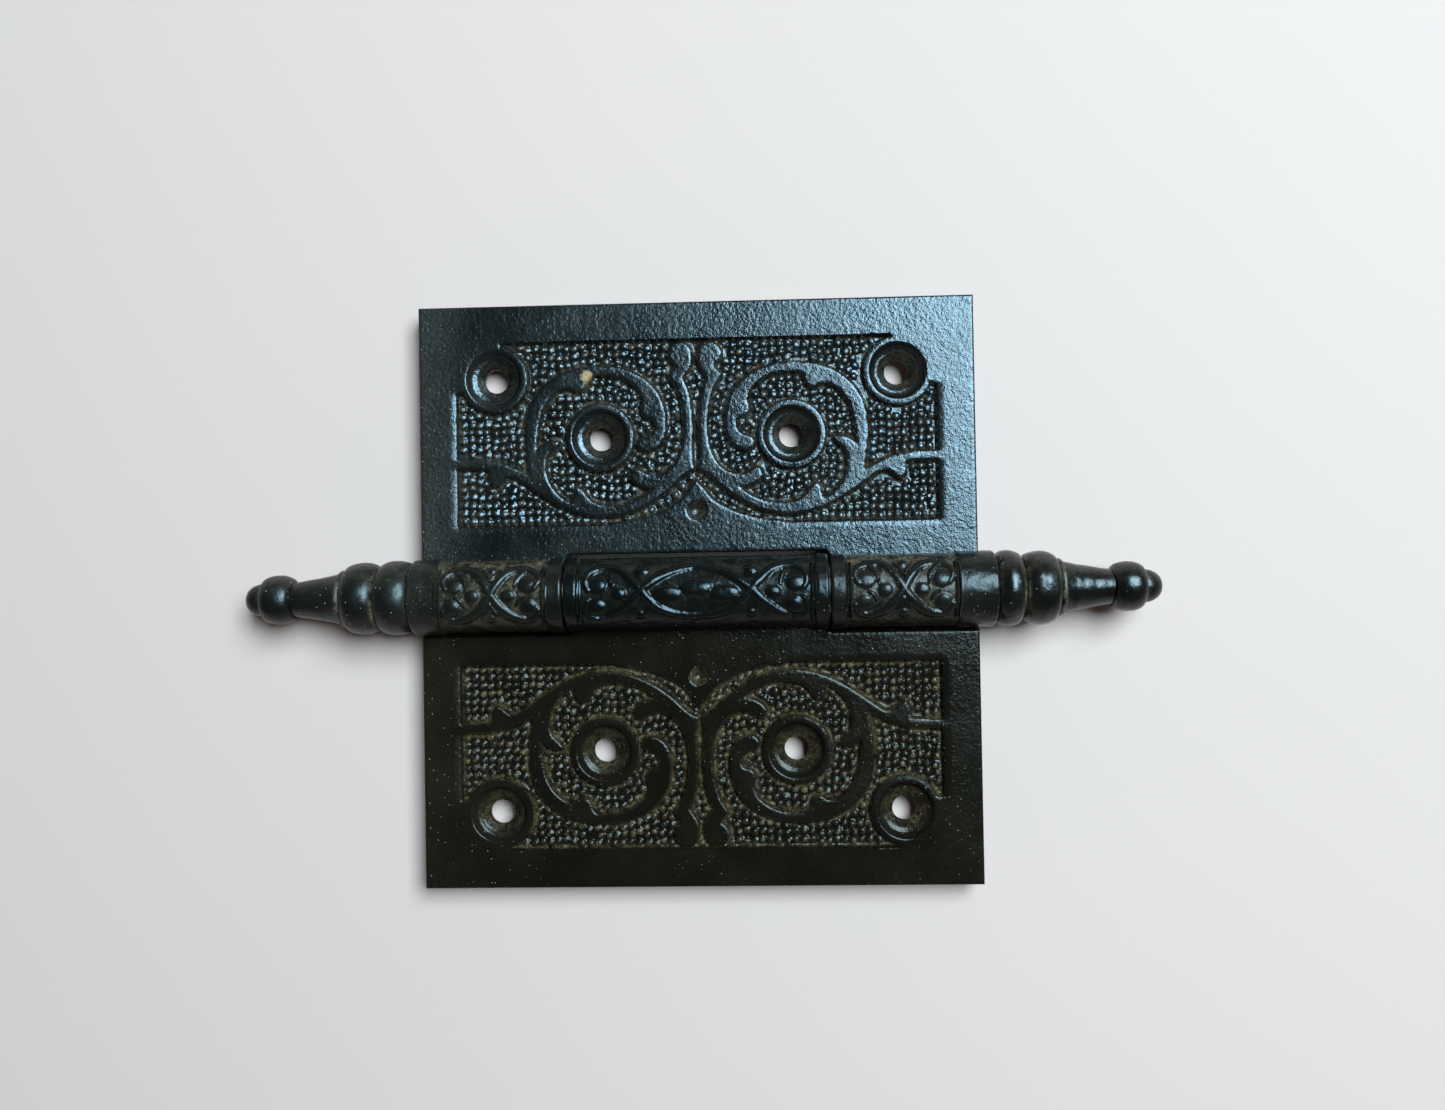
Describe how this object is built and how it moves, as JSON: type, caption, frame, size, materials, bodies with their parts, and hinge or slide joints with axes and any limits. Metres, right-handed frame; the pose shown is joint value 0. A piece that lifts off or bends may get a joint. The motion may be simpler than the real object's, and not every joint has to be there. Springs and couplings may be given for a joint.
{
  "type": "door hinge",
  "caption": "Open cast-iron loose-pin butt hinge: two leaves with sunk scrollwork panels, a knuckled barrel and steeple tips.",
  "frame": {"origin": "on the pin's axis at the middle of the hinge's length, which is the centre of its bounding box when open flat", "axes": "+X along the pin towards the loose tip, +Y towards the two-knuckle leaf, +Z away from the decorated faces"},
  "size_m": [0.1657, 0.1066, 0.0137],
  "materials": {
    "leaf_iron": "satin black japan, worn and dusty",
    "tip_iron": "satin black japan, worn and dusty",
    "pin_steel": "oiled, dark with age",
    "bush_steel": "oiled, dark with age"
  },
  "bodies": {
    "frame_leaf": {"two_knuckle_leaf": "leaf_iron", "bottom_tip": "tip_iron", "bottom_tip_stud": "pin_steel"},
    "door_leaf": {"one_knuckle_leaf": "leaf_iron", "top_bush": "bush_steel", "bottom_bush": "bush_steel"},
    "loose_pin": {"hinge_pin": "pin_steel", "top_tip": "tip_iron"}
  },
  "joints": [
    {"name": "leaf_swing", "type": "hinge", "parent": "frame_leaf", "child": "door_leaf", "pos_m": [0, 0, 0], "axis": [-1, 0, 0], "range_deg": [-115, 180]},
    {"name": "pin_lift", "type": "slide", "parent": "frame_leaf", "child": "loose_pin", "axis": [1, 0, 0], "range_m": [0, 0.095]}
  ]
}
